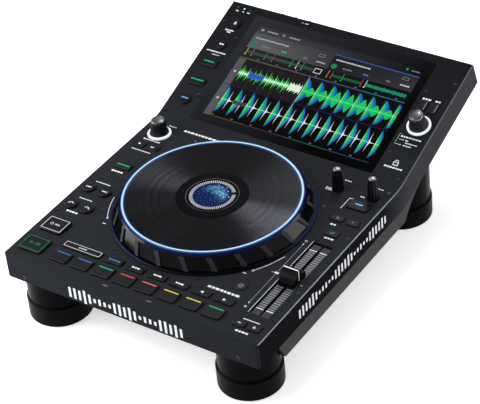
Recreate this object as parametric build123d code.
from build123d import *
import math
import os

# A table-top media player for disc jockeys: a flat control deck with a large jog
# wheel, a touch display on a slope behind it, and four tall feet. Millimetres.
# The deck frame has its origin at the middle of the front fold: +X right, +Y back,
# +Z up, with the deck surface at Z = 0. The written parts are moved so that the
# whole object stands on Z = 0, centred on X and Y.

# ---- layout -----------------------------------------------------------------------
# The deck is laid out round the jog wheel, so its width and length follow from the
# wheel and from the strips of deck beside, in front of and behind it.
BASE_R = 111.4          # jog wheel's fixed bezel, which lies on the deck
SIDE_STRIP = 48.1       # room for the keys on the left and the fader on the right
FRONT_STRIP = 51.6      # room for the pads
BACK_STRIP = 9.6
JOG_Y = FRONT_STRIP + BASE_R
DECK_LEN = FRONT_STRIP + 2 * BASE_R + BACK_STRIP   # front fold to the crease
BODY_W = 2 * (BASE_R + SIDE_STRIP)                 # width over the side walls
SLOPE_LEN = 179.0       # crease to the rear edge, along the slope
LEFT = -BODY_W / 2
RIGHT = BODY_W / 2
# What a place is measured from: in from a side, and past a line across the deck or
# the slope. Past the crease or the slope's head is behind it, so most are negative.
SIDES = {"left": (LEFT, 1), "right": (RIGHT, -1)}
LINES = {"front": 0.0, "jog": JOG_Y, "crease": DECK_LEN, "slope foot": 0.0, "slope head": SLOPE_LEN}


def from_edges(side, inset, line, past):
    """(x, y) of a place measured in from a side and past a line."""
    edge, inwards = SIDES[side]
    return (edge + inwards * inset, LINES[line] + past)


# ---- casing -----------------------------------------------------------------------
TILT = 19.0             # rise of the display slope, degrees
SHELL_H = 31.0          # height of the upper shell's walls
WALL = 2.5              # side and front walls of the upper shell
SKIN = 2.5              # thickness of the deck and display skins
FOLD_R = 2.5            # radius of the front fold
CREASE_R = 50.0         # soft bend between deck and display
EDGE_BEVEL = 0.9        # bevel along the outer top edges
CORNER_R = 4.0          # upright front corners

# ---- lower casing -----------------------------------------------------------------
TRAY_DROP = 19.0        # the tray hangs this far below the shell
SHEET = 2.0             # thickness of the tray, cover plate and rear panel
COVER_GAP = 0.2         # between the cover plate and the shell's walls
CHIN_TOP_Y = 36.0       # where the tray starts, behind the front wall
CHIN_FOOT_Y = 46.0
TRAY_REACH = 7.5        # the tray's floor runs this far past the crease
TRAY_BACK_Y = DECK_LEN + TRAY_REACH
TRAY_RISE = 52.0        # slope of the tray's rear face, degrees
BLEND_R = 100.0         # sweep from the tray's rear face into the slab
VENT_COUNT = 14
VENT_W = 3.0
VENT_L = 46.0
VENT_PITCH = 9.0
VENT_AHEAD = 52.0       # middle of the vents, in front of the crease
VENT_Y = DECK_LEN - VENT_AHEAD
BAY_W = 104.0           # service door in the floor
BAY_L = 78.0
BAY_AHEAD = 33.0        # middle of the door, in front of the jog wheel's
BAY_Y = JOG_Y - BAY_AHEAD
BAY_GROOVE = 0.8
LUG_W = 9.0             # lugs that take the front and rear screws
LUG_L = 6.0
LUG_H = 10.0

# ---- feet -------------------------------------------------------------------------
DECK_H = 86.5           # deck surface above the table
COLUMN_R = 33.2
FOOT_INSET = 4.0        # column behind the side wall's outer face
FOOT_SETBACK = 1.3      # column behind the front fold
REAR_FOOT_PAST = 63.0   # middle of the rear feet, behind the crease
FOOT_X = RIGHT - COLUMN_R - FOOT_INSET
FRONT_FOOT_Y = COLUMN_R + FOOT_SETBACK
REAR_FOOT_Y = DECK_LEN + REAR_FOOT_PAST
CUP_WALL = 1.9
CUP_GAP = 0.1
CUP_H = 25.5
CUP_SOLE = 4.0          # rubber under the column
CUP_LIP = 1.6           # bevel round the top of the rubber cup
CUP_FOOT_BEVEL = 1.6
FOOT_SCREW_R = 3.4
FOOT_SCREW_HEAD = 2.2
FOOT_WELL_R = 4.4       # hole in the sole for the foot's screw

# ---- display ----------------------------------------------------------------------
GLASS_SIDE = 39.75      # casing to the left and right of the glass, for the keys
GLASS_FOOT = 8.45       # casing between the crease and the glass
GLASS_HEAD = 11.05      # casing between the glass and the rear edge
GLASS_W = BODY_W - 2 * GLASS_SIDE
GLASS_L = SLOPE_LEN - GLASS_FOOT - GLASS_HEAD
GLASS_S = GLASS_FOOT + GLASS_L / 2
GLASS_T = 2.0
GLASS_GAP = 0.25
GLASS_R = 3.0
RIM_W = 2.4             # frame under the skin that the glass rests on
RIM_T = 2.5
LEDGE = 5.0             # width of the seat under the glass
LCD_GAP = 1.0           # between the panel and the frame
LCD_T = 5.5

# ---- jog wheel --------------------------------------------------------------------
BEZEL_LAP = 7.8         # the bezel lies on this much deck round its hole
JOG_HOLE_R = BASE_R - BEZEL_LAP
DISH_GAP = 0.3
DISH_WALL = 2.8
BASE_H = 2.4
BASE_BEVEL = 1.0
BASE_IN_R = JOG_HOLE_R - DISH_GAP - DISH_WALL      # inner wall of the dish
DISH_DEEP = 9.0
DISH_T = 2.0
SPINDLE_R = 12.0
SPINDLE_TOP = 13.0
SPINDLE_BORE = 8.6
RUN_GAP = 0.05          # running fits
REST_GAP = 0.3          # between pieces that pass each other
BEZEL_SHOW = 2.8        # bezel seen round the foot of the grip ring
GRIP_FLARE = 8.9        # the grip ring is this much wider at its foot
GRIP_LIP = 1.4          # flat top of the grip ring, round the lit ring
GRIP_FOOT_R = BASE_R - BEZEL_SHOW
GRIP_TOP_R = GRIP_FOOT_R - GRIP_FLARE
GRIP_TOP_Z = 19.2
GRIP_FOOT_Z = 3.2
LIGHT_GAP = 0.1
LIGHT_W = 3.2
LIGHT_TOP = 20.6
PLATTER_R = GRIP_TOP_R - GRIP_LIP - 2 * LIGHT_GAP - LIGHT_W
PLATTER_TOP = 19.9
PLATTER_T = 2.3
HUB_HOLE_R = 39.4       # opening for the middle display
WEB_Z = 6.0
WEB_T = 3.0
SLEEVE_R = 17.0
SLEEVE_TOP = 12.0
DRUM_INSET = 8.9        # the drum stands this far inside the platter's edge
DRUM_R = PLATTER_R - DRUM_INSET
DRUM_T = 3.0
GRIP_WALL = 4.0
SHELF_T = 2.7
SCOOPS = 22             # finger scoops round the grip ring
RIB_TOP_W = 5.9         # ribs left between the scoops
RIB_FOOT_W = 3.9
SCOOP_DEEP = 2.0
SCOOP_LEAN = 25.0       # degrees off the upright
SCOOP_TOP = 3.0         # uncut band above the scoops
HUB_GAP = 0.6
HUB_TOP = 20.3
HUB_FACE_R = 29.0
HUB_RECESS = 0.4
HUB_BODY_R = 33.0
HUB_PLATE_T = 2.4
STEM_GAP = 0.1
STEM_DEEP = 12.0

# ---- keys -------------------------------------------------------------------------
KEY_GAP = 0.4           # round each key, in the skin
FLANGE_W = 0.8
FLANGE_T = 1.0
CROWN = 0.6             # bevel round the top of a key
TRAVEL = 0.8
PLUNGER_W = 3.0
BOARD_DEEP = 12.0       # top of the key boards under the skin's surface
BOARD_T = 1.6
SWITCH_W = 6.0
SWITCH_H = 4.2
SWITCH_GAP = 0.12       # left between plunger and switch at full travel
KEY_R = 1.2             # corners of the oblong keys
PADS = 8
PAD_FROM_LEFT = 61.0    # side wall to the middle of the first pad
PAD_FROM_RIGHT = 65.85
PAD_X0 = LEFT + PAD_FROM_LEFT
PAD_PITCH = (BODY_W - PAD_FROM_LEFT - PAD_FROM_RIGHT) / (PADS - 1)
PAD_GAP = 5.65          # between two pads
PAD_Y = 22.0
PAD_W = PAD_PITCH - PAD_GAP
PAD_L = 16.4
MODE_GAP = 5.95
MODE_Y = 42.0
MODE_W = PAD_PITCH - MODE_GAP
MODE_L = 9.0
SHIFT_L = 9.6

# ---- knobs ------------------------------------------------------------------------
SHAFT_R = 2.9
BUSH_R = 4.4
POT_W = 12.0
POT_H = 6.0
ENCODER_R = 8.0
ENCODER_H = 16.0
ENCODER_RIBS = 20
ENCODER_CROWN = 1.4
FLUTE_R = 0.8
SKIRT_R = 10.8
SKIRT_T = 2.0
COLLAR_GAP = 0.4
COLLAR_W = 2.5
COLLAR_H = 2.4
KNOB_R = 5.1
KNOB_TOP_R = 4.5
KNOB_H = 26.5
KNOB_CROWN = 0.7
KNOB_FLUTES = 10
SWEEP_PLACE = ("left", 24.5, "crease", -30.5)
SELECT_PLACE = ("right", 19.5, "slope foot", 83.0)
START_PLACE = ("right", 59.7, "crease", -29.5)
BRAKE_PLACE = ("right", 17.2, "crease", -27.7)
SWEEP_AT = from_edges(*SWEEP_PLACE)
SELECT_AT = from_edges(*SELECT_PLACE)
START_AT = from_edges(*START_PLACE)
BRAKE_AT = from_edges(*BRAKE_PLACE)

# ---- pitch fader ------------------------------------------------------------------
FADER_INSET = 24.1
FADER_X = RIGHT - FADER_INSET
FADER_Y = 102.8
WELL_W = 23.2
THROW = 100.0
CAP_W = 17.6
CAP_L = 25.0
CAP_H = 14.0
CAP_NOSE = 4.6          # height of the cap's front and rear ends
CAP_WAIST = 1.2         # half width of the middle ridge
CAP_SAG = 2.2           # hollow of the cap's finger faces
STEM_W = 2.0
STEM_L = 6.0
SLOT_GAP = 0.4
PLATE_T = 1.5
PLATE_LAP = 2.4
TRACK_WALL = 1.2
CARRIAGE_W = 9.0
CARRIAGE_L = 12.0
CARRIAGE_H = 5.0

# ---- rear connectors --------------------------------------------------------------
SOCKET_GAP = 0.2
SOCKET_WALL = 1.5
INLET_INSET = 56.5      # in from the panel's left end, seen from behind
INLET_X = LEFT + INLET_INSET
INLET_W = 27.0
INLET_H = 19.6
INLET_DEEP = 16.5
FLANGE_LAP = 2.0
INLET_FLANGE = 2.0
PIN_W = 2.0
PIN_H = 4.0
PIN_SHORT = 7.0         # pin tips below the inlet's mouth
PIN_PITCH = 7.0
PIN_DROP = 4.0
LAN_INSET = 99.5
LAN_X = LEFT + LAN_INSET
LAN_W = 16.0
LAN_H = 13.6
LAN_MOUTH_W = 11.8
LAN_MOUTH_H = 8.2
LAN_DEEP = 14.0
LAN_OUT = 0.6
USB_X = -30.0
USB_PITCH = 20.0
USB_COUNT = 3
USB_W = 14.4
USB_H = 7.0
USB_WALL = 0.9
USB_DEEP = 14.0
USB_TONGUE = 1.9
PHONO_INSET = 99.5      # in from the panel's right end, seen from behind
PHONO_X = RIGHT - PHONO_INSET
PHONO_PITCH = 19.0
PHONO_COUNT = 3
PHONO_R = 4.15
PHONO_BORE = 1.7
PHONO_OUT = 8.3
PHONO_COLLAR_R = 5.6
PHONO_COLLAR_T = 1.2
PHONO_BLOCK = 12.0
JACK_INSET = 41.5
JACK_X = RIGHT - JACK_INSET
JACK_R = 4.0
JACK_BORE = 1.8
JACK_OUT = 1.4
POWER_INSET = 23.5
POWER_X = LEFT + POWER_INSET
POWER_R = 5.0
POWER_OUT = 3.0
POWER_TRAVEL = 2.0
POWER_DEEP = 6.0
SWITCH_BODY = 13.0
LOCK_INSET = 23.5
LOCK_X = RIGHT - LOCK_INSET
LOCK_W = 7.0
LOCK_H = 3.2

# ---- boards and screws ------------------------------------------------------------
BOARD_EDGE = 1.5        # between the key boards and the shell's walls
DECK_BOARD_AHEAD = 7.0  # rear edge of the deck's board, in front of the crease
DECK_BOARD_BACK = DECK_LEN - DECK_BOARD_AHEAD
SLOPE_BOARD_FOOT = 4.0  # front edge of the slope's board, behind the crease
SLOPE_BOARD_HEAD = 21.0 # its rear edge, in front of the casing's rear edge
SLOPE_BOARD_S = (SLOPE_BOARD_FOOT, SLOPE_LEN - SLOPE_BOARD_HEAD)
BOARD_JOG_GAP = 1.5
TRACK_CLEAR = 1.0
SUPPLY_W = 62.0
SUPPLY_L = 118.0
SUPPLY_H = 22.0
SUPPLY_EDGE = 20.5      # between the supply and the side wall
SUPPLY_PAST = 12.0      # its middle, behind the jog wheel's
SUPPLY_AT = (RIGHT - SUPPLY_EDGE - SUPPLY_W / 2, JOG_Y + SUPPLY_PAST)
MAIN_EDGE = 24.5        # between the main board and the side wall
MAIN_GAP = 22.0         # between the main board and the supply
MAIN_AHEAD = 38.0       # its middle, in front of the jog wheel's
MAIN_W = BODY_W - MAIN_EDGE - MAIN_GAP - SUPPLY_W - SUPPLY_EDGE
MAIN_L = 120.0
MAIN_AT = (LEFT + MAIN_EDGE + MAIN_W / 2, JOG_Y - MAIN_AHEAD)
STANDOFF_H = 4.0
BOSS_R = 3.0
PILOT_R = 1.35
SCREW_HEAD_R = 2.1
SCREW_HEAD_H = 0.9
SCREW_SHANK_R = 1.3
SCREW_LEN = 7.0
SCREW_GAP = 0.15

SCREW_INSET = 6.5       # screws along the side walls
DECK_SCREW_ROWS = [("front", 86.0), ("jog", 22.0), ("crease", -12.0)]
SLOPE_SCREW_ROWS = [("slope foot", 9.8), ("slope head", -31.5)]
GLASS_SCREW_GAP = 6.25  # screws beside the glass
GLASS_SCREW_ROWS = [39.8, 128.4]
# screws round the jog wheel: distance from its bezel, and degrees
JOG_SCREWS = [(9.4, 207.2), (6.4, 242.0), (4.6, 295.1), (6.2, 29.8)]

DECK_SCREWS = [from_edges(side, SCREW_INSET, *row) for side in SIDES for row in DECK_SCREW_ROWS]
for gap, degrees in JOG_SCREWS:
    from_jog = Vector(BASE_R + gap, 0).rotate(Axis.Z, degrees)
    DECK_SCREWS.append((from_jog.X, JOG_Y + from_jog.Y))
GLASS_SCREW_X = GLASS_W / 2 + GLASS_SCREW_GAP
SLOPE_SCREWS = [from_edges(side, SCREW_INSET, *row) for side in SIDES for row in SLOPE_SCREW_ROWS]
SLOPE_SCREWS += [(side * GLASS_SCREW_X, s) for side in (-1, 1) for s in GLASS_SCREW_ROWS]
FRONT_SCREW_INSET = 24.5
FRONT_SCREW_X = RIGHT - FRONT_SCREW_INSET
FRONT_SCREW_UP = 5.5    # above the shell's lower edge
REAR_SCREW_INSET = 9.5
REAR_SCREW_X = RIGHT - REAR_SCREW_INSET
REAR_SCREW_DOWN = 7.5   # below the display surface

# name: (side, inset, line, distance past it, width, length, height above the skin,
# corner radius). A round key has a corner radius of half of its width.
KEY_ROWS = {
    "play_button": ("left", 23.3, "front", 25.5, 29.0, 23.0, 3.0, 2.0),
    "cue_button": ("left", 23.3, "front", 61.5, 28.0, 22.6, 3.0, 2.0),
    "beat_back_button": ("left", 14.9, "front", 99.8, 14.6, 14.6, 2.6, 7.3),
    "beat_next_button": ("left", 35.9, "front", 99.8, 14.6, 14.6, 2.6, 7.3),
    "skip_back_button": ("left", 14.9, "jog", -30.2, 14.6, 14.6, 2.6, 7.3),
    "skip_next_button": ("left", 35.9, "jog", -30.2, 14.6, 14.6, 2.6, 7.3),
    "slip_button": ("left", 25.0, "jog", 19.8, 21.5, 10.0, 2.0, KEY_R),
    "loop_in_button": ("left", 15.9, "crease", -58.2, 16.2, 9.6, 1.6, KEY_R),
    "loop_out_button": ("left", 34.3, "crease", -58.2, 16.2, 9.6, 1.6, KEY_R),
    "bend_minus_button": ("right", 33.8, "front", 20.2, 14.4, 8.8, 1.8, KEY_R),
    "bend_plus_button": ("right", 16.3, "front", 20.2, 14.4, 8.8, 1.8, KEY_R),
    "vinyl_button": ("right", 64.1, "front", 69.4, 14.4, 14.4, 0.8, 7.2),
    "key_lock_button": ("right", 24.9, "jog", 21.0, 15.0, 8.6, 1.8, KEY_R),
    "key_sync_button": ("right", 33.1, "jog", 46.2, 14.0, 9.4, 1.6, KEY_R),
    "key_reset_button": ("right", 14.7, "jog", 46.2, 14.0, 9.4, 1.6, KEY_R),
    "sync_button": ("right", 24.1, "crease", -46.6, 23.8, 14.4, 2.2, KEY_R),
    "eject_button": ("left", 21.9, "slope head", -30.8, 14.0, 14.0, 2.2, 7.0),
    "view_button": ("left", 21.9, "slope foot", 114.0, 12.0, 12.0, 2.0, 6.0),
    "menu_button": ("left", 21.5, "slope foot", 86.4, 21.0, 11.0, 2.0, KEY_R),
    "info_button": ("left", 21.5, "slope foot", 57.4, 21.0, 10.0, 2.0, KEY_R),
    "light_button": ("left", 21.5, "slope foot", 29.6, 13.4, 13.4, 2.2, 6.7),
    "back_button": ("right", 28.5, "slope foot", 109.0, 11.0, 14.4, 1.4, KEY_R),
    "forward_button": ("right", 15.1, "slope foot", 109.0, 11.0, 14.4, 1.4, KEY_R),
}
# name: (x, y or s, width, length, height above the skin, corner radius)
DECK_KEYS = {}
SLOPE_KEYS = {}
for key_name, (side, inset, line, past, *sizes) in KEY_ROWS.items():
    surface = SLOPE_KEYS if line.startswith("slope") else DECK_KEYS
    surface[key_name] = (*from_edges(side, inset, line, past), *sizes)
SHIFT_W = PAD_PITCH + MODE_W
DECK_KEYS["shift_button"] = (PAD_X0 + PAD_PITCH / 2, MODE_Y, SHIFT_W, SHIFT_L, 2.0, KEY_R)
MODE_NAMES = ["cue_mode", "loop_mode", "roll_mode", "slice_mode", "page_left", "page_right"]
for index, mode in enumerate(MODE_NAMES):
    mode_x = PAD_X0 + PAD_PITCH * (index + 2)
    DECK_KEYS[mode + "_button"] = (mode_x, MODE_Y, MODE_W, MODE_L, 2.0, KEY_R)
for index in range(PADS):
    DECK_KEYS[f"pad_{index + 1}"] = (PAD_X0 + PAD_PITCH * index, PAD_Y, PAD_W, PAD_L, 2.2, 1.4)

# ---- frames -----------------------------------------------------------------------
SIN = math.sin(math.radians(TILT))
COS = math.cos(math.radians(TILT))
HALF_TAN = math.tan(math.radians(TILT / 2))
SLOPE = Plane(origin=(0, DECK_LEN, 0), x_dir=(1, 0, 0), z_dir=(0, -SIN, COS))
REAR_MID = SLOPE.from_local_coords((0, SLOPE_LEN, -SHELL_H / 2))
REAR = Plane(origin=REAR_MID, x_dir=(-1, 0, 0), z_dir=(0, COS, SIN))
FRONT = Plane(origin=(0, 0, -SHELL_H), x_dir=(1, 0, 0), z_dir=(0, -1, 0))


def on_deck(x, y, z=0.0):
    """Location on the deck surface."""
    return Location((x, y, z))


def on_slope(x, s, n=0.0):
    """Location on the display slope: s up the slope, n out of its surface."""
    return SLOPE.location * Location((x, s, n))


def on_rear(x, up=0.0):
    """Location on the rear panel's outer face, seen from behind."""
    return REAR.location * Location((x, up, 0))


def on_front(x, up=0.0):
    """Location on the front wall's outer face, up from its lower edge."""
    return FRONT.location * Location((x, up, 0))


def slope_point(s, n):
    """(y, z) in the deck frame of a point s up the slope and n out of it."""
    return (DECK_LEN + s * COS - n * SIN, s * SIN + n * COS)


def block(width, length, low, high):
    """Upright block centred on the origin, between two heights."""
    return Pos(0, 0, low) * extrude(Rectangle(width, length), high - low)


def rod(radius, low, high):
    """Upright cylinder between two heights."""
    return Pos(0, 0, low) * extrude(Circle(radius), high - low)


def across(outline, width):
    """Solid from a (y, z) outline, extruded to both sides of the middle plane."""
    return extrude(Plane.YZ * outline, width / 2, both=True)


def outline_of(points):
    """Face from a closed run of straight lines."""
    return make_face(Polyline(*points, close=True))


def turned(points):
    """Solid of revolution about Z from (radius, z) points."""
    return revolve(Plane.XZ * outline_of(points), Axis.Z)


def rounded(shape, point, radius):
    """Rounds the one corner of a face or line that lies nearest to a point."""
    target = Vector(*point)
    nearest = min(shape.vertices(), key=lambda v: (Vector(v.X, v.Y) - target).length)
    return fillet(nearest, radius)


def top_bevelled(solid, size):
    """Bevels the edge of an upright solid's top face."""
    return chamfer(solid.faces().sort_by(Axis.Z)[-1].edges(), size)


def around(count):
    """Evenly spaced turns about Z."""
    return [Rot(0, 0, 360 * step / count) for step in range(count)]


def group(pieces):
    """One part out of several separate solids."""
    return Compound([solid for piece in pieces for solid in piece.solids()])


# ---- casing -----------------------------------------------------------------------
UNDER_CREASE = (DECK_LEN + SHELL_H * HALF_TAN, -SHELL_H)
TRAY_Z = -SHELL_H - TRAY_DROP


def shell_outline():
    """Side view of the upper shell, solid: deck, crease, slope and rear end."""
    face = outline_of([
        (0, 0), (DECK_LEN, 0), slope_point(SLOPE_LEN, 0),
        slope_point(SLOPE_LEN, -SHELL_H), UNDER_CREASE, (0, -SHELL_H),
    ])
    face = rounded(face, (DECK_LEN, 0), CREASE_R)
    return rounded(face, (0, 0), FOLD_R)


def shell_cavity():
    """Side view of the room inside the upper shell, open below and behind."""
    below = SHELL_H + 1
    beyond = SLOPE_LEN + 1
    face = outline_of([
        (WALL, -SKIN), (DECK_LEN + SKIN * HALF_TAN, -SKIN), slope_point(beyond, -SKIN),
        slope_point(beyond, -below), (DECK_LEN + below * HALF_TAN, -below), (WALL, -below),
    ])
    return rounded(face, (DECK_LEN + SKIN * HALF_TAN, -SKIN), CREASE_R + SKIN)


def screw_hole(place):
    """Pilot hole with a seat for the head, down from a surface."""
    seat = rod(SCREW_HEAD_R + SCREW_GAP, -SCREW_HEAD_H, 1)
    return place * (rod(PILOT_R, -BOARD_DEEP - 1, 1) + seat)


def screw(place):
    """Screw whose head lies flush with a surface."""
    shank = rod(SCREW_SHANK_R, -SCREW_HEAD_H - SCREW_LEN, -SCREW_HEAD_H)
    return place * (shank + rod(SCREW_HEAD_R, -SCREW_HEAD_H, 0))


def boss(place):
    """Standoff from the skin down to the key board."""
    return place * rod(BOSS_R, -BOARD_DEEP, -SKIN / 2)


def key_plan(width, length, radius, grow=0.0):
    """Plan of a key: a disc where the radius is half of the width."""
    if is_round(width, radius):
        return Circle(radius + grow)
    return RectangleRounded(width + 2 * grow, length + 2 * grow, radius + grow)


def is_round(width, radius):
    """True for a round key."""
    return radius * 2 > width - 0.01


def key_hole(place, width, length, radius):
    """Opening in the skin for a key."""
    plan = key_plan(width, length, radius, KEY_GAP)
    return place * Pos(0, 0, -SKIN - 1) * extrude(plan, SKIN + 2)


def top_shell():
    """Upper shell: deck, display surround and walls in one bent moulding."""
    solid = across(shell_outline(), BODY_W)
    solid = chamfer([edge for edge in solid.edges() if is_top_side(edge)], EDGE_BEVEL)
    solid &= on_deck(0, 0, -SHELL_H - 1) * extrude(shell_plan(), 2 * SLOPE_LEN)
    solid -= across(shell_cavity(), BODY_W - 2 * WALL)
    rim = Rectangle(GLASS_W + 2 * RIM_W, GLASS_L + 2 * RIM_W)
    rim_low = -GLASS_T - RIM_T
    solid += on_slope(0, GLASS_S, rim_low) * extrude(rim, -SKIN / 2 - rim_low)
    deck_places = [on_deck(x, y) for x, y in DECK_SCREWS]
    slope_places = [on_slope(x, s) for x, s in SLOPE_SCREWS]
    solid += [boss(place) for place in deck_places + slope_places]
    solid += [rear_lug(side) for side in (-1, 1)]
    recess = RectangleRounded(GLASS_W + 2 * GLASS_GAP, GLASS_L + 2 * GLASS_GAP, GLASS_R)
    window = Rectangle(GLASS_W - 2 * LEDGE, GLASS_L - 2 * LEDGE)
    holes = [on_slope(0, GLASS_S, -GLASS_T) * extrude(recess, GLASS_T + 1)]
    holes.append(on_slope(0, GLASS_S, rim_low - 1) * extrude(window, RIM_T + 2))
    holes += [screw_hole(place) for place in deck_places + slope_places]
    holes += [screw_hole(place) for place in front_places() + rear_places()]
    holes += [key_hole(on_deck(x, y), w, l, r) for x, y, w, l, h, r in DECK_KEYS.values()]
    holes += [key_hole(on_slope(x, s), w, l, r) for x, s, w, l, h, r in SLOPE_KEYS.values()]
    holes += [place * rod(SHAFT_R + KEY_GAP, -SKIN - 1, 1) for place in knob_places()]
    holes.append(on_deck(0, JOG_Y) * rod(JOG_HOLE_R, -SKIN - 1, 1))
    holes.append(on_deck(FADER_X, FADER_Y) * block(WELL_W, WELL_L, -SKIN - 1, 1))
    return solid - holes


def shell_plan():
    """Plan of the upper shell, with its rounded front corners."""
    half = BODY_W / 2
    back = slope_point(SLOPE_LEN, -SHELL_H)[0] + 1
    face = outline_of([(-half, 0), (half, 0), (half, back), (-half, back)])
    face = rounded(face, (-half, 0), CORNER_R)
    return rounded(face, (half, 0), CORNER_R)


def is_top_side(edge):
    """True for the outer edges where the side walls meet the deck and the display."""
    mid = edge.center()
    if abs(abs(mid.X) - BODY_W / 2) > 0.01 or mid.Y < FOLD_R:
        return False
    if mid.Y < DECK_LEN - CREASE_R * HALF_TAN:
        return abs(mid.Z) < 0.01
    rear_y = slope_point(SLOPE_LEN, 0)[0]
    return abs(SLOPE.to_local_coords(mid).Z) < EDGE_BEVEL and mid.Y < rear_y - 1


def front_places():
    """Where the two front screws go."""
    return [on_front(side * FRONT_SCREW_X, FRONT_SCREW_UP) for side in (-1, 1)]


def rear_places():
    """Where the two rear screws go."""
    up = SHELL_H / 2 - REAR_SCREW_DOWN
    return [on_rear(side * REAR_SCREW_X, up) for side in (-1, 1)]


def rear_lug(side):
    """Lug under the display skin that takes a rear screw."""
    lug = block(LUG_W, LUG_L, -SKIN - LUG_H, -SKIN / 2)
    return on_slope(side * REAR_SCREW_X, SLOPE_LEN - SHEET - LUG_L / 2) * lug


# ---- lower casing -----------------------------------------------------------------
def tray_knee():
    """(y, z) where the tray's rear face would meet the slab's underside."""
    rise = math.tan(math.radians(TRAY_RISE))
    slab_rise = SIN / COS
    y = (rise * TRAY_BACK_Y - slab_rise * UNDER_CREASE[0] + TRAY_DROP) / (rise - slab_rise)
    return (y, TRAY_Z + rise * (y - TRAY_BACK_Y))


def sheet_line():
    """Outer line of the lower casing, from the front strip round to the rear panel."""
    panel_top = slope_point(SLOPE_LEN, -SKIN - COVER_GAP)
    line = Polyline(
        (WALL + COVER_GAP, -SHELL_H), (CHIN_TOP_Y, -SHELL_H), (CHIN_FOOT_Y, TRAY_Z),
        (TRAY_BACK_Y, TRAY_Z), tray_knee(), slope_point(SLOPE_LEN, -SHELL_H), panel_top,
    )
    return rounded(line, tray_knee(), BLEND_R)


def tray_area():
    """Side view of the tray and of the room over it, up into the shell's walls."""
    reach = BLEND_R * math.tan(math.radians((TRAY_RISE - TILT) / 2)) + 1
    knee_y, knee_z = tray_knee()
    end_y = knee_y + reach * COS
    end_z = knee_z + reach * SIN
    face = outline_of([
        (CHIN_TOP_Y, -SHELL_H), (CHIN_FOOT_Y, TRAY_Z), (TRAY_BACK_Y, TRAY_Z), (knee_y, knee_z),
        (end_y, end_z), (end_y - SHEET * SIN, end_z + SHEET * COS),
        (UNDER_CREASE[0], SHEET - SHELL_H), (CHIN_TOP_Y, SHEET - SHELL_H),
    ])
    return rounded(face, (knee_y, knee_z), BLEND_R)


def tray_side():
    """Side view of the tray alone, below the upper shell."""
    return tray_area() - shell_outline()


def sheet_band():
    """Side view of the folded sheet."""
    return make_face(offset(sheet_line(), SHEET, side=Side.LEFT, kind=Kind.INTERSECTION))


def bottom_cover():
    """Tray, cover plate and rear panel in one folded sheet, with the tray's side walls."""
    band = sheet_band()
    side = tray_side()
    solid = across(side, BODY_W) - across(tray_area() - band, BODY_W - 2 * SHEET)
    solid += across(band, BODY_W - 2 * WALL - 2 * COVER_GAP)
    behind = -WALL - COVER_GAP
    solid += [place * block(LUG_W, LUG_H, behind - LUG_L, behind) for place in front_places()]
    foot = TRAY_Z + SHEET
    solid += [on_deck(x, y) * rod(BOSS_R, foot - SHEET / 2, foot + STANDOFF_H) for x, y in main_corners()]
    holes = [screw_hole(place) for place in front_places() + rear_places()]
    return solid - (holes + floor_cuts() + rear_cuts())


def floor_cuts():
    """Vent slots and the groove round the service door in the tray's floor."""
    first = -VENT_PITCH * (VENT_COUNT - 1) / 2
    slot = Pos(0, 0, TRAY_Z - 1) * extrude(SlotOverall(VENT_L, VENT_W, rotation=90), SHEET + 2)
    cuts = [on_deck(first + VENT_PITCH * step, VENT_Y) * slot for step in range(VENT_COUNT)]
    groove = Rectangle(BAY_W, BAY_L) - Rectangle(BAY_W - 2 * BAY_GROOVE, BAY_L - 2 * BAY_GROOVE)
    cuts.append(on_deck(0, BAY_Y, TRAY_Z) * extrude(groove, BAY_GROOVE))
    return cuts


def rear_cuts():
    """Openings in the rear panel for its sockets."""
    deep = SHEET + 1
    grow = 2 * SOCKET_GAP
    cuts = [
        on_rear(INLET_X) * block(INLET_W + grow, INLET_H + grow, -deep, 1),
        on_rear(LAN_X) * block(LAN_W + grow, LAN_H + grow, -deep, 1),
        on_rear(JACK_X) * rod(JACK_R + SOCKET_GAP, -deep, 1),
        on_rear(POWER_X) * rod(POWER_R + KEY_GAP, -deep, 1),
        on_rear(LOCK_X) * block(LOCK_W, LOCK_H, -deep, 1),
    ]
    cuts += [on_rear(x) * block(USB_W + grow, USB_H + grow, -deep, 1) for x in usb_places()]
    cuts += [on_rear(x) * rod(PHONO_R + SOCKET_GAP, -deep, 1) for x in phono_places()]
    return cuts


# ---- feet -------------------------------------------------------------------------
CUP_R = COLUMN_R + CUP_GAP + CUP_WALL


def foot_places():
    """(x, y) of the four feet."""
    return [(side * FOOT_X, y) for y in (FRONT_FOOT_Y, REAR_FOOT_Y) for side in (-1, 1)]


def mid_height(y):
    """Height of the middle of the upper shell at a depth."""
    if y < DECK_LEN:
        return -SHELL_H / 2
    return (y - DECK_LEN) * SIN / COS - SHELL_H / 2 / COS


def foot_columns():
    """Four columns, each cut to the underside that it stands under."""
    casing = [across(shell_outline(), BODY_W), across(tray_side(), BODY_W)]
    seat = -DECK_H + CUP_SOLE
    columns = []
    for x, y in foot_places():
        column = rod(COLUMN_R, seat, mid_height(y)) - rod(PILOT_R, seat - 1, seat + SCREW_LEN + 1)
        columns.append((on_deck(x, y) * column - casing).solids().sort_by(Axis.Z)[0])
    return group(columns)


def foot_cups():
    """Rubber cups that hold the columns' lower ends and stand on the table."""
    inner = COLUMN_R + CUP_GAP
    cup = turned([
        (FOOT_WELL_R, 0), (CUP_R - CUP_FOOT_BEVEL, 0), (CUP_R, CUP_FOOT_BEVEL),
        (CUP_R, CUP_H - CUP_LIP), (CUP_R - CUP_LIP, CUP_H), (inner, CUP_H),
        (inner, CUP_SOLE), (FOOT_WELL_R, CUP_SOLE),
    ])
    return group([on_deck(x, y, -DECK_H) * cup for x, y in foot_places()])


def foot_screw(x, y):
    """Screw in the sole, with its head against the column."""
    seat = -DECK_H + CUP_SOLE
    shank = rod(SCREW_SHANK_R, seat, seat + SCREW_LEN)
    return on_deck(x, y) * (rod(FOOT_SCREW_R, seat - FOOT_SCREW_HEAD, seat) + shank)


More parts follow.
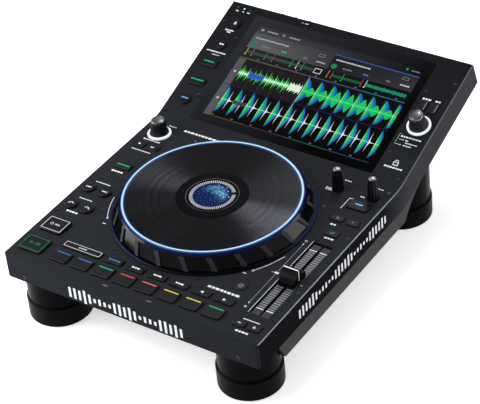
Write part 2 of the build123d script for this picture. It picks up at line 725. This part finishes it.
# ---- display ----------------------------------------------------------------------
def screen_glass():
    """Cover glass, flush with the display surface."""
    sheet = extrude(RectangleRounded(GLASS_W, GLASS_L, GLASS_R), GLASS_T)
    return on_slope(0, GLASS_S, -GLASS_T) * sheet


def lcd_panel():
    """Display panel, bonded to the back of the glass inside its frame."""
    width = GLASS_W - 2 * LEDGE - 2 * LCD_GAP
    length = GLASS_L - 2 * LEDGE - 2 * LCD_GAP
    return on_slope(0, GLASS_S) * block(width, length, -GLASS_T - LCD_T, -GLASS_T)


# ---- jog wheel --------------------------------------------------------------------
DISC_Z = PLATTER_TOP - PLATTER_T
LIGHT_R = PLATTER_R + LIGHT_GAP + LIGHT_W


def jog_base():
    """Fixed bezel on the deck, with the dish below it and the spindle."""
    dish_r = JOG_HOLE_R - DISH_GAP
    under = -DISH_DEEP - DISH_T
    return on_deck(0, JOG_Y) * turned([
        (dish_r, 0), (BASE_R, 0), (BASE_R, BASE_H - BASE_BEVEL), (BASE_R - BASE_BEVEL, BASE_H),
        (BASE_IN_R, BASE_H), (BASE_IN_R, -DISH_DEEP), (SPINDLE_R, -DISH_DEEP),
        (SPINDLE_R, SPINDLE_TOP), (SPINDLE_BORE, SPINDLE_TOP), (SPINDLE_BORE, under),
        (dish_r, under),
    ])


def jog_platter():
    """Platter: sleeve on the spindle, web, drum and the upper disc."""
    bore = SPINDLE_R + RUN_GAP
    foot = -DISH_DEEP + REST_GAP
    drum_in = DRUM_R - DRUM_T
    return on_deck(0, JOG_Y) * turned([
        (bore, foot), (SLEEVE_R, foot), (SLEEVE_R, WEB_Z), (DRUM_R, WEB_Z), (DRUM_R, DISC_Z),
        (PLATTER_R, DISC_Z), (PLATTER_R, PLATTER_TOP), (HUB_HOLE_R, PLATTER_TOP),
        (HUB_HOLE_R, DISC_Z), (drum_in, DISC_Z), (drum_in, WEB_Z + WEB_T),
        (SLEEVE_R, WEB_Z + WEB_T), (SLEEVE_R, SLEEVE_TOP), (bore, SLEEVE_TOP),
    ])


def jog_light_ring():
    """Light guide between the platter and the grip ring."""
    tube = Circle(LIGHT_R) - Circle(PLATTER_R + LIGHT_GAP)
    return on_deck(0, JOG_Y, DISC_Z) * extrude(tube, LIGHT_TOP - DISC_Z)


def jog_grip_ring():
    """Conical grip ring with slanted finger scoops and narrow ribs between them."""
    lip = LIGHT_R + LIGHT_GAP
    shelf = DISC_Z - SHELF_T
    ring = turned([
        (DRUM_R + LIGHT_GAP, shelf), (DRUM_R + LIGHT_GAP, DISC_Z), (lip, DISC_Z), (lip, GRIP_TOP_Z),
        (GRIP_TOP_R, GRIP_TOP_Z), (GRIP_FOOT_R, GRIP_FOOT_Z),
        (GRIP_FOOT_R - GRIP_WALL, GRIP_FOOT_Z), (GRIP_TOP_R - GRIP_WALL, shelf),
    ])
    return on_deck(0, JOG_Y) * (ring - [turn * scoop() for turn in around(SCOOPS)])


def scoop():
    """One finger scoop: a leaning flat cut that runs out at the ring's foot."""
    drop = GRIP_TOP_Z - GRIP_FOOT_Z
    spread = GRIP_FOOT_R - GRIP_TOP_R
    run = math.hypot(drop, spread)
    middle = ((GRIP_TOP_R + GRIP_FOOT_R) / 2, 0, (GRIP_TOP_Z + GRIP_FOOT_Z) / 2)
    face = Plane(origin=middle, x_dir=(0, 1, 0), z_dir=(drop, 0, spread))
    lean = math.tan(math.radians(SCOOP_LEAN))
    top = run / 2 - SCOOP_TOP
    foot = -run / 2 - SCOOP_DEEP
    half_top = math.pi * GRIP_TOP_R / SCOOPS - RIB_TOP_W / 2
    half_foot = math.pi * GRIP_FOOT_R / SCOOPS - RIB_FOOT_W / 2
    plan = outline_of([
        (-lean * top - half_top, top), (-lean * top + half_top, top),
        (-lean * foot + half_foot, foot), (-lean * foot - half_foot, foot),
    ])
    return extrude(face.offset(-SCOOP_DEEP) * plan, SCOOP_DEEP * 3)


def jog_display():
    """Round display in the middle of the wheel, on a stem in the spindle."""
    disc_r = HUB_HOLE_R - HUB_GAP
    plate = HUB_TOP - HUB_PLATE_T
    stem_r = SPINDLE_BORE - STEM_GAP
    return on_deck(0, JOG_Y) * turned([
        (0, HUB_TOP - HUB_RECESS), (HUB_FACE_R, HUB_TOP - HUB_RECESS), (HUB_FACE_R, HUB_TOP),
        (disc_r, HUB_TOP), (disc_r, plate), (HUB_BODY_R, plate), (HUB_BODY_R, SPINDLE_TOP),
        (stem_r, SPINDLE_TOP), (stem_r, SPINDLE_TOP - STEM_DEEP), (0, SPINDLE_TOP - STEM_DEEP),
    ])


# ---- keys -------------------------------------------------------------------------
SWITCH_TOP = -BOARD_DEEP + SWITCH_H
PLUNGER_END = SWITCH_TOP + TRAVEL + SWITCH_GAP


def key(place, width, length, height, radius):
    """Key cap with a flange under the skin and a plunger over its switch."""
    shoulder = -SKIN - REST_GAP
    flange_low = shoulder - FLANGE_T
    cap = Pos(0, 0, shoulder) * extrude(key_plan(width, length, radius), height - shoulder)
    cap = top_bevelled(cap, min(CROWN, height / 2))
    if is_round(width, radius):
        flange = rod(radius + FLANGE_W, flange_low, shoulder)
    else:
        flange = block(width + 2 * FLANGE_W, length + 2 * FLANGE_W, flange_low, shoulder)
    plunger = block(PLUNGER_W, PLUNGER_W, PLUNGER_END, flange_low)
    return place * (cap + flange + plunger)


def key_switch(place):
    """Switch on the key board, under a key."""
    return place * block(SWITCH_W, SWITCH_W, -BOARD_DEEP, SWITCH_TOP)


# ---- knobs ------------------------------------------------------------------------
def knob_places():
    """Where the four knobs stand."""
    return [on_deck(*SWEEP_AT), on_deck(*START_AT), on_deck(*BRAKE_AT), on_slope(*SELECT_AT)]


def shaft():
    """Shaft from a knob's foot down into its bushing."""
    return rod(SHAFT_R, -BOARD_DEEP + REST_GAP, REST_GAP)


def encoder_knob(place):
    """Fluted knob with a wide skirt."""
    skirt_top = REST_GAP + SKIRT_T
    body = top_bevelled(rod(ENCODER_R, skirt_top, ENCODER_H), ENCODER_CROWN)
    flute_top = ENCODER_H - 2 * ENCODER_CROWN
    flute = Pos(ENCODER_R + FLUTE_R / 2, 0) * rod(FLUTE_R, skirt_top + FLUTE_R, flute_top)
    body -= [turn * flute for turn in around(ENCODER_RIBS)]
    return place * (body + rod(SKIRT_R, REST_GAP, skirt_top) + shaft())


def slim_knob(place):
    """Tall slim knob with shallow flutes."""
    body = turned([
        (0, REST_GAP), (KNOB_R, REST_GAP), (KNOB_TOP_R, KNOB_H - KNOB_CROWN),
        (KNOB_TOP_R - KNOB_CROWN, KNOB_H), (0, KNOB_H),
    ])
    flute = Pos(KNOB_R + FLUTE_R / 2, 0) * rod(FLUTE_R, REST_GAP - 1, KNOB_H - 4 * KNOB_CROWN)
    body -= [turn * flute for turn in around(KNOB_FLUTES)]
    return place * (body + shaft())


def collar(place):
    """Raised ring on the skin round an encoder knob."""
    inner = SKIRT_R + COLLAR_GAP
    outer = inner + COLLAR_W
    return place * turned([
        (inner, 0), (outer, 0), (outer, COLLAR_H / 2), (outer - COLLAR_W / 3, COLLAR_H),
        (inner + COLLAR_W / 5, COLLAR_H), (inner, COLLAR_H * 3 / 4),
    ])


def bushing(place):
    """Encoder or potentiometer on the key board, with the bushing for its shaft."""
    body = block(POT_W, POT_W, -BOARD_DEEP, -BOARD_DEEP + POT_H)
    body += rod(BUSH_R, -BOARD_DEEP + POT_H, -SKIN - REST_GAP)
    return place * (body - rod(SHAFT_R + RUN_GAP, -BOARD_DEEP, 0))


# ---- pitch fader ------------------------------------------------------------------
WELL_L = THROW + CAP_L + 2 * KEY_GAP
TRACK_W = CARRIAGE_W + 2 * KEY_GAP + 2 * TRACK_WALL
TRACK_L = THROW + CARRIAGE_L + 2 * KEY_GAP + 2 * TRACK_WALL
TRACK_TOP = -SKIN - PLATE_T
CARRIAGE_TOP = TRACK_TOP - REST_GAP
TRACK_FOOT = CARRIAGE_TOP - CARRIAGE_H - REST_GAP - TRACK_WALL


def fader_track():
    """Slotted plate in the well, with the channel that guides the carriage."""
    plate = block(WELL_W + 2 * PLATE_LAP, WELL_L + 2 * PLATE_LAP, TRACK_TOP, -SKIN)
    plate -= block(STEM_W + 2 * SLOT_GAP, THROW + STEM_L + 2 * SLOT_GAP, TRACK_TOP - 1, 0)
    channel = block(TRACK_W, TRACK_L, TRACK_FOOT, TRACK_TOP)
    channel -= block(TRACK_W - 2 * TRACK_WALL, TRACK_L - 2 * TRACK_WALL, TRACK_FOOT + TRACK_WALL, 0)
    return on_deck(FADER_X, FADER_Y) * (plate + channel)


def pitch_cap():
    """Fader cap with hollow finger faces, its stem and the carriage below."""
    low = -SKIN + REST_GAP
    end = CAP_L / 2
    front = finger_face((-end, CAP_NOSE), (-CAP_WAIST, CAP_H))
    back = finger_face((CAP_WAIST, CAP_H), (end, CAP_NOSE))
    ridge = Line((-CAP_WAIST, CAP_H), (CAP_WAIST, CAP_H))
    base = Polyline((end, CAP_NOSE), (end, low), (-end, low), (-end, CAP_NOSE))
    cap = across(make_face([front, ridge, back, base]), CAP_W)
    stem = block(STEM_W, STEM_L, CARRIAGE_TOP, low)
    carriage = block(CARRIAGE_W, CARRIAGE_L, CARRIAGE_TOP - CARRIAGE_H, CARRIAGE_TOP)
    return on_deck(FADER_X, FADER_Y) * (cap + stem + carriage)


def finger_face(start, end):
    """Hollow curve between two (y, z) points, sagging towards the cap's base."""
    chord = math.hypot(end[0] - start[0], end[1] - start[1])
    rise = (end[1] - start[1]) / chord
    level = (end[0] - start[0]) / chord
    middle_y = (start[0] + end[0]) / 2 + CAP_SAG * rise
    middle_z = (start[1] + end[1]) / 2 - CAP_SAG * level
    return ThreePointArc(start, (middle_y, middle_z), end)


# ---- rear connectors --------------------------------------------------------------
def usb_places():
    """Places of the flat serial sockets along the rear panel."""
    return [USB_X + USB_PITCH * step for step in range(USB_COUNT)]


def phono_places():
    """Places of the round audio sockets along the rear panel."""
    return [PHONO_X + PHONO_PITCH * step for step in range(PHONO_COUNT)]


def power_inlet():
    """Mains inlet: flange on the panel, hollow body behind it and three flat pins."""
    body = block(INLET_W, INLET_H, -INLET_DEEP, 0)
    body += block(INLET_W + 2 * FLANGE_LAP, INLET_H + 2 * FLANGE_LAP, 0, INLET_FLANGE)
    floor = -INLET_DEEP + SOCKET_WALL
    body -= block(INLET_W - 2 * SOCKET_WALL, INLET_H - 2 * SOCKET_WALL, floor, INLET_FLANGE + 1)
    for x, up in ((-PIN_PITCH, -PIN_DROP / 2), (0, PIN_DROP / 2), (PIN_PITCH, -PIN_DROP / 2)):
        body += Pos(x, up) * block(PIN_W, PIN_H, floor, INLET_FLANGE - PIN_SHORT)
    return on_rear(INLET_X) * body


def lan_socket():
    """Network socket with an open mouth."""
    body = block(LAN_W, LAN_H, -LAN_DEEP, LAN_OUT)
    body -= block(LAN_MOUTH_W, LAN_MOUTH_H, -LAN_DEEP + SOCKET_WALL, LAN_OUT + 1)
    return on_rear(LAN_X) * body


def usb_socket(x):
    """Flat serial socket: thin shell and the contact tongue."""
    floor = -USB_DEEP + SOCKET_WALL
    body = block(USB_W, USB_H, -USB_DEEP, LAN_OUT)
    body -= block(USB_W - 2 * USB_WALL, USB_H - 2 * USB_WALL, floor, LAN_OUT + 1)
    tongue = block(USB_W - 4 * USB_WALL, USB_TONGUE, floor, -LAN_OUT)
    tongue_up = (USB_H - 3 * USB_WALL - USB_TONGUE) / 2
    return on_rear(x) * (body + Pos(0, tongue_up) * tongue)


def phono_socket(x):
    """Round audio socket: barrel, collar on the panel and the block behind it."""
    body = rod(PHONO_R, -SHEET, PHONO_OUT) + rod(PHONO_COLLAR_R, 0, PHONO_COLLAR_T)
    body += socket_block()
    return on_rear(x) * (body - rod(PHONO_BORE, -SHEET, PHONO_OUT + 1))


def jack_socket():
    """Small round remote socket."""
    body = rod(JACK_R, -SHEET, JACK_OUT) + socket_block()
    return on_rear(JACK_X) * (body - rod(JACK_BORE, -PHONO_BLOCK, JACK_OUT + 1))


def socket_block():
    """Moulded body of a round socket, against the panel's inner face."""
    return block(PHONO_BLOCK, PHONO_BLOCK, -SHEET - PHONO_BLOCK, -SHEET)


def power_switch():
    """Body of the power switch behind the panel, with a well for its button."""
    well = -POWER_DEEP - POWER_TRAVEL - REST_GAP
    body = block(SWITCH_BODY, SWITCH_BODY, well - SWITCH_BODY / 2, -SHEET)
    return on_rear(POWER_X) * (body - rod(POWER_R + KEY_GAP, well, 0))


def power_button():
    """Round power button that is pushed into the rear panel."""
    return on_rear(POWER_X) * top_bevelled(rod(POWER_R, -POWER_DEEP, POWER_OUT), CROWN)


def rear_sockets():
    """Every socket on the rear panel."""
    sockets = [power_inlet(), lan_socket(), jack_socket(), power_switch()]
    sockets += [usb_socket(x) for x in usb_places()]
    sockets += [phono_socket(x) for x in phono_places()]
    return group(sockets)


# ---- boards and screws ------------------------------------------------------------
def main_corners():
    """Where the main board's standoffs rise from the floor."""
    half_w = MAIN_W / 2 - 2 * BOSS_R
    half_l = MAIN_L / 2 - 2 * BOSS_R
    return [(MAIN_AT[0] + i * half_w, MAIN_AT[1] + j * half_l) for i in (-1, 1) for j in (-1, 1)]


def deck_board():
    """Key board under the deck, cut out for the jog dish and the fader."""
    front = WALL + BOARD_EDGE
    low = -BOARD_DEEP - BOARD_T
    length = DECK_BOARD_BACK - front
    board = block(BODY_W - 2 * front, length, low, -BOARD_DEEP)
    board = on_deck(0, front + length / 2) * board
    hole = block(TRACK_W + 2 * TRACK_CLEAR, TRACK_L + 2 * TRACK_CLEAR, low - 1, 0)
    dish = rod(JOG_HOLE_R + BOARD_JOG_GAP, low - 1, 0)
    return board - [on_deck(FADER_X, FADER_Y) * hole, on_deck(0, JOG_Y) * dish]


def slope_board():
    """Key board under the display surround."""
    low, high = SLOPE_BOARD_S
    board = block(BODY_W - 2 * (WALL + BOARD_EDGE), high - low, -BOARD_DEEP - BOARD_T, -BOARD_DEEP)
    return on_slope(0, (low + high) / 2) * board


def circuit_boards():
    """Key boards with their switches and bushings, main board and power supply."""
    floor = TRAY_Z + SHEET
    seat = floor + STANDOFF_H
    pieces = [deck_board(), slope_board()]
    pieces.append(on_deck(*MAIN_AT) * block(MAIN_W, MAIN_L, seat, seat + BOARD_T))
    pieces.append(on_deck(*SUPPLY_AT) * block(SUPPLY_W, SUPPLY_L, floor, floor + SUPPLY_H))
    pieces += [key_switch(on_deck(x, y)) for x, y, *rest in DECK_KEYS.values()]
    pieces += [key_switch(on_slope(x, s)) for x, s, *rest in SLOPE_KEYS.values()]
    pieces += [bushing(place) for place in knob_places()]
    return group(pieces)


def screws():
    """The screws that hold the shell, its lower casing and the feet."""
    places = [on_deck(x, y) for x, y in DECK_SCREWS] + [on_slope(x, s) for x, s in SLOPE_SCREWS]
    pieces = [screw(place) for place in places + front_places() + rear_places()]
    return group(pieces + [foot_screw(x, y) for x, y in foot_places()])


# ---- assembly ---------------------------------------------------------------------
def build():
    """Every part in the deck frame, by name."""
    sweep, start, brake, select = knob_places()
    parts = {
        "top_shell": top_shell(),
        "bottom_cover": bottom_cover(),
        "foot_columns": foot_columns(),
        "foot_cups": foot_cups(),
        "screen_glass": screen_glass(),
        "lcd_panel": lcd_panel(),
        "jog_base": jog_base(),
        "jog_display": jog_display(),
        "jog_platter": jog_platter(),
        "jog_light_ring": jog_light_ring(),
        "jog_grip_ring": jog_grip_ring(),
        "sweep_knob": encoder_knob(sweep),
        "select_knob": encoder_knob(select),
        "start_speed_knob": slim_knob(start),
        "brake_speed_knob": slim_knob(brake),
        "knob_collars": group([collar(sweep), collar(select)]),
        "fader_track": fader_track(),
        "pitch_cap": pitch_cap(),
        "rear_sockets": rear_sockets(),
        "power_button": power_button(),
        "circuit_boards": circuit_boards(),
        "screws": screws(),
    }
    for name, (x, y, width, length, height, radius) in DECK_KEYS.items():
        parts[name] = key(on_deck(x, y), width, length, height, radius)
    for name, (x, s, width, length, height, radius) in SLOPE_KEYS.items():
        parts[name] = key(on_slope(x, s), width, length, height, radius)
    return parts


def main():
    """Builds every part, stands the whole on Z = 0 and writes the files."""
    parts = build()
    boxes = [part.bounding_box() for part in parts.values()]
    low = Vector(*(min(getattr(box.min, axis) for box in boxes) for axis in "XYZ"))
    high = Vector(*(max(getattr(box.max, axis) for box in boxes) for axis in "XYZ"))
    move = Location((-(low.X + high.X) / 2, -(low.Y + high.Y) / 2, -low.Z))
    print("deck frame origin in the part's frame:", tuple(round(v, 4) for v in move.position))
    print("overall size:", tuple(round(v, 2) for v in high - low))
    os.makedirs("parts", exist_ok=True)
    for name, part in parts.items():
        export_step(move * part, f"parts/{name}.step")


main()
